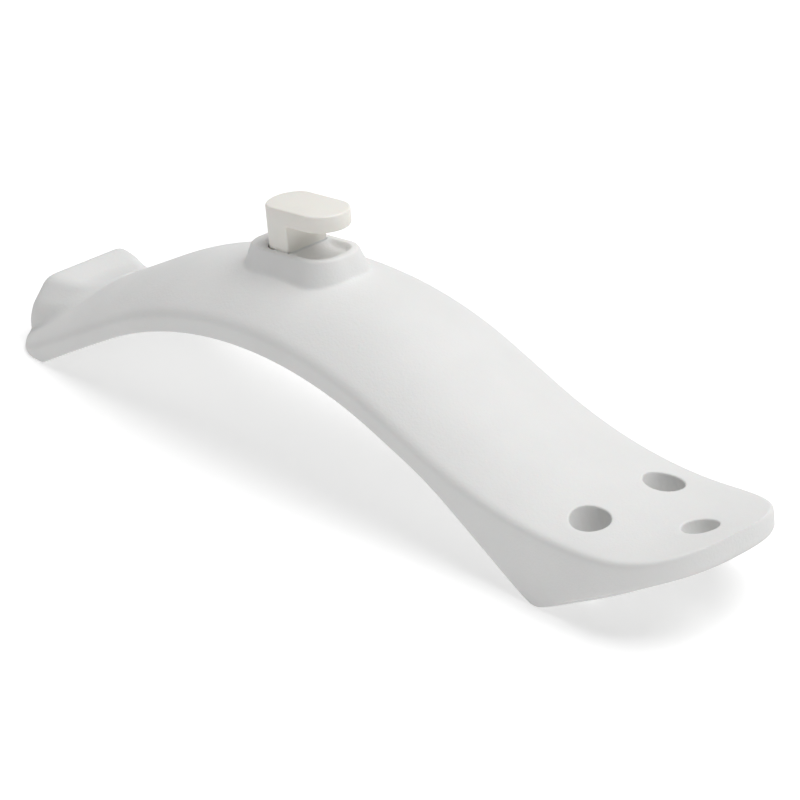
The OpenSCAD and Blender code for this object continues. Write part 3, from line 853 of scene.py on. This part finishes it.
        depth = np.full(len(ox), self.boss_h)
        for _ in range(12):
            p = at(self.rim_r + self.flare * depth, -depth)
            depth = depth + (p[:, 2] - f.top_z(p[:, 0], p[:, 1])) * 0.8
        foot = at(self.rim_r + self.flare * depth, -depth)
        run = self.rim_r + self.flare * depth + self.foot_f
        on = fr.settle(f, cx + nx * run, cy + ny * run, 0.0)
        base = at(run, on)
        up = at(self.rim_r + self.flare * (depth - self.foot_f), -(depth - self.foot_f))
        rings = []
        for t in (0.25, 0.5, 0.7, 0.87):
            d = dist + (run - dist) * t
            rings.append(at(d, fr.settle(f, cx + nx * d, cy + ny * d, 0.0)))
        rings.extend(bezier(base, foot, up, np.linspace(0, 1, 7)))
        top = at(self.rim_r + self.flare * self.rim_f, -self.rim_f)
        for t in (0.33, 0.66):
            rings.append(up + (top - up) * t)
        edge, lip = at(self.rim_r, 0.0), at(self.rim_r - self.rim_f, 0.0)
        rings.extend(bezier(top, edge, lip, np.linspace(0, 1, 6)))
        inside = self.rim_r - self.rim_lip
        # close together where the dish fades in from the lip, then wider apart down to the core
        lip_steps = inside - np.array([-0.15, 0, 0.15, 0.35, 0.6, 0.9, 1.3, 1.8, 2.4])
        for d in (*lip_steps, 4.0, 3.0, 2.0, 1.0, 0.35, 0.0):
            x, y = cx + nx * d, cy + ny * d
            rings.append(fr.out(x, y, -self.dish(x, inside - d)))
        for t in (0.5, 1.0):
            rings.append(fr.out(cx, cy * (1 - t), -self.dish(cx, self.rim_r)))
        return np.stack(rings)

    def dish(self, x: Array, inward: Array) -> Array:
        """Depth of the dish: an arc along X in front of the neck, faded in inward of the lip."""
        r = (self.dish_l ** 2 / 4 + self.dish_h ** 2) / (2 * self.dish_h)
        arc = np.sqrt(np.maximum(r * r - (x - self.dish_l / 2) ** 2, 0)) - (r - self.dish_h)
        return np.maximum(arc, 0) * ease(inward, 0.0, self.dish_fade)

    def build(self) -> bpy.types.Object:
        """Joins the skins, the boss and the wells into one closed mesh, then adds and cuts the rest."""
        f = self.form
        outer = Skin(f, self.hump, 0.0).points()
        inner = Skin(f, self.hump, f.wall).points()
        mesh = Mesh()
        oi, ii = mesh.add(outer), mesh.add(inner)
        rows, cols = oi.shape
        keep = np.ones((rows - 1, cols - 1), bool)
        keep_in = keep.copy()
        back, front, side = self.boss_patch
        middle = self.hook_x + self.rim_mid
        boss_box = self.window(outer, (middle + back, -side), (middle + front, side))
        i0, i1, j0, j1 = boss_box
        keep[i0:i1, j0:j1] = False
        ring = self.border(oi, boss_box)
        rings = mesh.add(self.boss_rings(outer.reshape(-1, 3)[ring]))
        mesh.rings(np.vstack([ring[None], rings]), True)
        for well in self.wells:
            m = well.d / 2 + f.wall + self.well_patch
            box = self.window(inner, (well.x - m, well.y - m), (well.x + m, well.y + m))
            i0, i1, j0, j1 = box
            keep[i0:i1, j0:j1] = False
            keep_in[i0:i1, j0:j1] = False
            ring_o, ring_i = self.border(oi, box), self.border(ii, box)
            made = mesh.add(self.well_rings(well, outer.reshape(-1, 3)[ring_o],
                                            inner.reshape(-1, 3)[ring_i - oi.size]))
            mesh.rings(np.vstack([ring_o[None], made, ring_i[None]]), True)
        for ids, mask in ((oi, keep), (ii, keep_in)):
            quads = np.stack([ids[:-1, :-1], ids[1:, :-1], ids[1:, 1:], ids[:-1, 1:]], 2)[mask]
            mesh.quads(quads)
        # end faces, then the narrow face along the lower edge
        for row in (oi[0], oi[-1], ii[0], ii[-1]):
            mid = cols // 2
            right, left = row[:mid], row[:mid:-1]
            mesh.quads(np.stack([right[:-1], right[1:], left[1:], left[:-1]], 1))
            mesh.face(right[-1], row[mid], left[-1])
        edge_o = np.concatenate([oi[:, 0], oi[::-1, -1]])
        edge_i = np.concatenate([ii[:, 0], ii[::-1, -1]])
        mesh.quads(strip_faces(edge_o, edge_i, True))
        obj = mesh.build("mudguard_moulding", Slot.SHELL)
        self.add_and_cut(obj)
        finish_mesh(obj, 30.0)
        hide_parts(*SHELL_NODES)
        return obj

    def ribs(self, mesh: Mesh) -> None:
        """Adds a wall across the shell, in three spans between the rear wells, and one to the front well."""
        f, rear, front = self.form, self.wells[1], self.wells[2]
        tube = rear.d / 2 + f.wall / 2
        z_low = float(f.top_z(np.array(rear.x), np.array(rear.y))) - rear.depth
        inset = f.wall / 2
        spans = ((-f.half + inset, -rear.y - tube), (-rear.y + tube, rear.y - tube),
                 (rear.y + tube, f.half - inset))
        for a, b in spans:
            y = np.linspace(a, b, 9)
            x = np.full_like(y, rear.x)
            self.wall_strip(mesh, x, y, z_low, np.array([self.rib_half, 0, 0]))
        x = np.linspace(rear.x + 0.5, front.x - front.d / 2 - 1.3, 17)
        z_long = float(f.top_z(np.array(front.x), np.array(0.0))) - self.long_rib_drop
        self.wall_strip(mesh, x, np.zeros_like(x), z_long, np.array([0, self.rib_half, 0]))

    def add_and_cut(self, obj: bpy.types.Object) -> None:
        """Unites the shell with its lamp box, ribs and hook pillar, then cuts pockets and screw holes."""
        f, fr, gap = self.form, self.hook_frame(), self.lamp_gap
        plus, socket, minus = Mesh(), Mesh(), Mesh()
        neck_mid = -StemHook.neck_t / 2
        lo = TailLens.centre_z - TailLens.height / 2 - gap
        hi = TailLens.centre_z + TailLens.height / 2 + gap
        half = TailLens.width / 2 + gap
        self.round_bar(plus, fr, (neck_mid, 0.0), self.pillar_r, self.pillar_low, -4.0)
        self.bar(plus, (f.tail + 1.0, -half - f.wall, lo - f.wall),
                 (f.tail + self.lamp_box_l, half + f.wall, lo + self.lamp_shelf))
        self.ribs(plus)
        self.cut_with(obj, plus, "UNION")
        self.prism(socket, fr, StemHook().neck_outline(0.4), self.socket_low, 3.0)
        self.cut_with(obj, socket, "DIFFERENCE")
        self.round_bar(minus, fr, (neck_mid, 0.0), self.hook_hole_r, -12.0, -5.0)
        self.bar(minus, (f.tail - 1.0, -half, lo), (f.tail + self.lamp_pocket_l, half, hi))
        holes = [(self.grommet_x, -TailLens.width / 4, self.grommet_r)]
        holes += [(self.lamp_screw_x, s * TailLens.width / 3, self.lamp_screw_r) for s in (-1, 1)]
        floor = Frame3((0.0, 0.0, 0.0), 0.0)
        for x, y, r in holes:
            self.round_bar(minus, floor, (f.tail + x, y), r, lo - f.wall - 1, lo + 1)
        self.cut_with(obj, minus, "DIFFERENCE")

    @staticmethod
    def bar(mesh: Mesh, lo: tuple[float, float, float], hi: tuple[float, float, float]) -> None:
        """Adds a box as six quads."""
        square = ((lo[0], lo[1]), (hi[0], lo[1]), (hi[0], hi[1]), (lo[0], hi[1]))
        ids = mesh.add(np.array([[(x, y, z) for x, y in square] for z in (lo[2], hi[2])]))
        mesh.face(ids[0, ::-1])
        mesh.face(ids[1])
        mesh.rings(ids, True)

    @staticmethod
    def prism(mesh: Mesh, fr: Frame3, outline: Array, low: float, high: float) -> None:
        """Adds a prism on a plan outline between two heights of a frame."""
        low_ids, top_ids = (mesh.add(fr.out(outline[:, 0], outline[:, 1], z)) for z in (low, high))
        mesh.quads(strip_faces(low_ids, top_ids, True))
        mesh.face(low_ids[::-1])
        mesh.face(top_ids)

    def round_bar(self, mesh: Mesh, fr: Frame3, centre: tuple[float, float], r: float, low: float,
                  high: float) -> None:
        """Adds an upright cylinder of a frame, as a prism on a circle."""
        a = np.arange(64) / 64 * 2 * math.pi
        self.prism(mesh, fr, np.array(centre) + r * np.stack([np.cos(a), np.sin(a)], 1), low, high)

    def wall_strip(self, mesh: Mesh, x: Array, y: Array, z_low: float, half: Array) -> None:
        """Adds a thin wall along a line in plan, up to inside the crown; half is half its thickness."""
        f = self.form
        low = np.stack([x, y, np.full_like(x, z_low)], 1)
        high = np.stack([x, y, f.top_z(x, y) - f.wall * 0.55], 1)
        ids = mesh.add(np.stack([low - half, high - half, high + half, low + half], 1))
        mesh.rings(ids, True)
        mesh.face(ids[0])
        mesh.face(ids[-1][::-1])

    @staticmethod
    def cut_with(obj: bpy.types.Object, mesh: Mesh, operation: str) -> None:
        """Applies an exact boolean of obj with a helper mesh, which is then removed.

        Args:
            obj: the object to change.
            mesh: the helper, in millimetres.
            operation: UNION or DIFFERENCE.
        """
        helper = link("helper", mesh.data("helper", False))
        mod = obj.modifiers.new("cut", "BOOLEAN")
        mod.operation, mod.solver, mod.object = operation, "EXACT", helper
        # the helpers' parts cross one another and stop inside the shell's wall
        mod.use_self = True
        apply_modifiers(obj)
        bpy.data.objects.remove(helper, do_unlink=True)
        LOG.info("%s leaves %d faces", operation.lower(), len(obj.data.polygons))


@dataclass
class StemHook:
    """The latch hook: a D-shaped neck, and a cap that reaches forwards over the dish."""

    width: float = 18.6
    neck_t: float = 14.3
    neck_back: float = 5.5
    neck_h: float = 9.3
    cap_t: float = 6.0
    cap_reach: float = 18.9
    foot_h: float = 6.0
    edge_r: float = 0.75
    front_power: float = 1.96
    corner_l: float = 2.6
    corner_turn: float = 0.22

    def back(self, grow: float) -> Array:
        """The back of the plan: an arc of the neck's rise, whose ends are rounded into the sides."""
        half = self.width / 2 + grow
        rise = self.neck_back
        r = (half ** 2 + rise ** 2) / (2 * rise)
        corner_x = -self.neck_t - grow + rise
        top = math.asin(min(half / r, 1.0))
        a = np.linspace(-top + self.corner_turn, top - self.corner_turn, 29)
        centre = -self.neck_t - grow + r
        arc = np.stack([centre - r * np.cos(a), r * np.sin(a)], 1)
        t = np.linspace(0, 1, 9)[1:]
        end = bezier(arc[-1], np.array([corner_x, half]), np.array([corner_x + self.corner_l, half]), t)
        start = end[::-1] * np.array([1, -1])
        return np.concatenate([start, arc, end])

    def neck_outline(self, grow: float) -> Array:
        """Plan of the neck: the back, closed by a flat front at x = grow."""
        half = self.width / 2 + grow
        back = self.back(grow)
        return np.concatenate([np.array([[grow, half], [grow, -half]])[::-1], back])

    def front(self) -> Array:
        """Front of the cap: half a superellipse |x|^n + |y|^n = r^n, nearly a half-circle."""
        half = self.width / 2
        a = np.radians(np.linspace(90, -90, 49))
        p = 2 / self.front_power
        x = self.cap_reach - half + half * np.abs(np.cos(a)) ** p
        y = half * np.sign(np.sin(a)) * np.abs(np.sin(a)) ** p
        return np.stack([x, y], 1)

    def build(self, fr: Frame3) -> bpy.types.Object:
        """Stacks the neck and the cap on shared back walls, then rounds every edge.

        Args:
            fr: the hook's frame.

        Returns:
            The hook.
        """
        mesh = Mesh()
        back = self.back(0.0)
        half = self.width / 2
        neck_front = np.array([[0.0, half], [0.0, -half]])
        cap_front = self.front()
        levels = [-self.foot_h, 0.0, self.neck_h, self.neck_h + self.cap_t]
        wall = [mesh.add(fr.out(back[:, 0], back[:, 1], z)) for z in levels]
        for a, b in zip(wall[:-1], wall[1:]):
            mesh.quads(strip_faces(a, b, False)[:, ::-1])
        front = [mesh.add(fr.out(neck_front[:, 0], neck_front[:, 1], z)) for z in levels[:3]]
        for k in (0, 1):
            low = np.concatenate([wall[k][-1:], front[k], wall[k][:1]])
            top = np.concatenate([wall[k + 1][-1:], front[k + 1], wall[k + 1][:1]])
            mesh.quads(strip_faces(low, top, False)[:, ::-1])
        cap = [mesh.add(fr.out(cap_front[:, 0], cap_front[:, 1], z)) for z in levels[2:]]
        # the side faces of the cap share the corner points of the neck's front
        mesh.face(wall[2][-1], front[2][0], cap[0][0], cap[1][0], wall[3][-1])
        mesh.quads(strip_faces(cap[0], cap[1], False)[:, ::-1])
        mesh.face(cap[0][-1], front[2][1], wall[2][0], wall[3][0], cap[1][-1])
        mesh.face(front[2][:1], cap[0], front[2][1:])
        mesh.face(wall[3], cap[1])
        mesh.face(wall[0], front[0])
        obj = mesh.build("latch_hook", Slot.HOOK)
        bevel = obj.modifiers.new("edges", "BEVEL")
        bevel.width, bevel.segments = self.edge_r * MM, 4
        bevel.limit_method, bevel.angle_limit = "ANGLE", math.radians(40)
        apply_modifiers(obj)
        finish_mesh(obj, 40.0)
        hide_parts("stem_hook")
        return obj


@dataclass
class TailLens:
    """The lamp's red window: a pillowed face over vertical flutes."""

    width: float = 29.0
    height: float = 10.0
    thick: float = 2.2
    centre_z: float = 14.5
    back_x: float = -157.5
    sunk: float = 0.05
    edge_in: float = 0.35
    flutes: int = 14
    flute_h: float = 0.3

    def build(self) -> bpy.types.Object:
        """Makes two faces of the lens on one grid, closed by rows round the edge.

        The outer face is flat and falls in by edge_in where max(|u|^24, |v|^8) nears 1, u and v being
        -1 to 1 across and up; the inner face adds a cosine flute across.
        """
        u = np.linspace(-1, 1, 141)
        v = np.linspace(-1, 1, 31)
        vv, uu = np.meshgrid(v, u, indexing="ij")
        y, z = uu * self.width / 2, self.centre_z + vv * self.height / 2
        edge = np.maximum(np.abs(uu) ** 24, np.abs(vv) ** 8)
        outer = np.stack([self.back_x + self.sunk + self.edge_in * edge, y, z], 2)
        wave = 0.5 - 0.5 * np.cos(uu * math.pi * self.flutes)
        inner = np.stack([self.back_x + self.thick - self.sunk - self.flute_h * wave * (1 - edge), y, z], 2)
        mesh = Mesh()
        a, b = mesh.add(outer), mesh.add(inner)
        mesh.rings(a, False)
        mesh.rings(b, False, flip=True)
        loops = [np.concatenate([g[0, :-1], g[:-1, -1], g[-1, :0:-1], g[:0:-1, 0]]) for g in (a, b)]
        mesh.quads(strip_faces(*loops, True))
        obj = mesh.build("tail_lens", Slot.LENS)
        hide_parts("lamp_lens")
        return obj


def dress(pieces: list[tuple[bpy.types.Object, Moulded | TurnedMetal]]) -> None:
    """Gives each piece its finish, whose material is made once.

    Args:
        pieces: each object with its finish.
    """
    made: dict[str, bpy.types.Material] = {}
    for obj, finish in pieces:
        if finish.name not in made:
            made[finish.name] = finish.material()
        obj.data.materials.clear()
        obj.data.materials.append(made[finish.name])
        LOG.info("%s wears %s", obj.name, finish.name)


# The CAD pieces that keep their own meshes, and their finishes.
CAD_FINISHES = {
    "hook_insert": BRASS_TURNED, "hook_washer": STEEL_ZINC, "hook_screw": STEEL_ZINC,
    "lamp_gasket": RUBBER_BLACK, "lamp_reflector": REFLECTOR_WHITE, "lamp_board": BOARD_GREEN,
    "lamp_leds": DIODE_YELLOW, "lamp_connector": CONNECTOR_NATURAL, "lamp_screws": STEEL_ZINC,
    "lead_grommet": RUBBER_BLACK}


@dataclass
class Studio:
    """A pale floor that glows a little, one large soft key from above, a weak sky, and the camera."""

    eye: tuple[float, float, float] = (0.8995, -0.8898, 0.6764)
    look: tuple[float, float, float] = (-0.6295, 0.6273, -0.4586)
    lens: float = 189.0
    world: float = 0.295
    floor_glow: float = 0.42
    floor_albedo: float = 0.74
    floor_half: float = 6.0
    floor_z: float = -0.0002
    key_at: tuple[float, float, float] = (0.45, 0.55, 2.0)
    key_size: float = 1.8
    key_power: float = 40.5

    def floor(self) -> None:
        """Adds the top of a large shooting table."""
        mesh = bpy.data.meshes.new("floor")
        s, z = self.floor_half, self.floor_z
        mesh.from_pydata([(-s, -s, z), (s, -s, z), (s, s, z), (-s, s, z)], [], [(0, 1, 2, 3)])
        obj = link("floor", mesh)
        obj.data.materials.append(self.lit_acrylic())

    def lit_acrylic(self) -> bpy.types.Material:
        """Opal acrylic: part of its light comes from below, so shadows on it stay pale."""
        mat, tree, place = new_material("opal_acrylic")
        # a mottle 0.4 m wide and under one percent deep, as an opal sheet has
        cloud = node(tree, "ShaderNodeTexNoise", {"Vector": place, "Scale": 2.5, "Detail": 1.0})
        glow = node(tree, "ShaderNodeMapRange",
                    {"Value": cloud.outputs["Fac"], "To Min": self.floor_glow,
                     "To Max": self.floor_glow + 0.01})
        shader = node(tree, "ShaderNodeBsdfPrincipled",
                      {"Base Color": (self.floor_albedo,) * 3 + (1.0,), "Roughness": 0.9,
                       "Specular IOR Level": 0.1, "Emission Color": (1.0, 1.0, 1.0, 1.0),
                       "Emission Strength": glow.outputs["Result"]})
        node(tree, "ShaderNodeOutputMaterial", {"Surface": shader.outputs["BSDF"]})
        return mat

    def light(self) -> None:
        """Adds the square key light, which faces the origin."""
        data = bpy.data.lights.new("key", "AREA")
        data.size, data.energy = self.key_size, self.key_power
        obj = link("key", data)
        obj.location = self.key_at
        obj.rotation_euler = (-Vector(self.key_at)).to_track_quat("-Z", "Y").to_euler()

    def build(self) -> None:
        """Makes the floor, the light, the world and the camera."""
        self.floor()
        self.light()
        world = bpy.data.worlds.new("studio")
        world.use_nodes = True
        sky = world.node_tree.nodes["Background"].inputs
        sky["Color"].default_value, sky["Strength"].default_value = (1, 1, 1, 1), self.world
        scene = bpy.context.scene
        scene.world = world
        scene.view_settings.view_transform = "Standard"
        scene.view_settings.look = "None"
        data = bpy.data.cameras.new("camera")
        data.lens, data.sensor_width = self.lens, 36.0
        data.clip_start, data.clip_end = 0.01, 50.0
        cam = link("camera", data)
        cam.location = self.eye
        cam.rotation_euler = Vector(self.look).to_track_quat("-Z", "Y").to_euler()
        scene.camera = cam


def main() -> None:
    """Builds the pieces in order."""
    logging.basicConfig(level=logging.INFO, format="%(name)s: %(message)s")
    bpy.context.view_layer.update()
    mudguard = Mudguard()
    made = [(mudguard.build(), SHELL_WHITE), (StemHook().build(mudguard.hook_frame()), HOOK_NYLON),
            (TailLens().build(), LENS_RED)]
    dress(made + [(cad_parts[name], finish) for name, finish in CAD_FINISHES.items()])
    Studio().build()


if __name__ == "__main__":
    main()
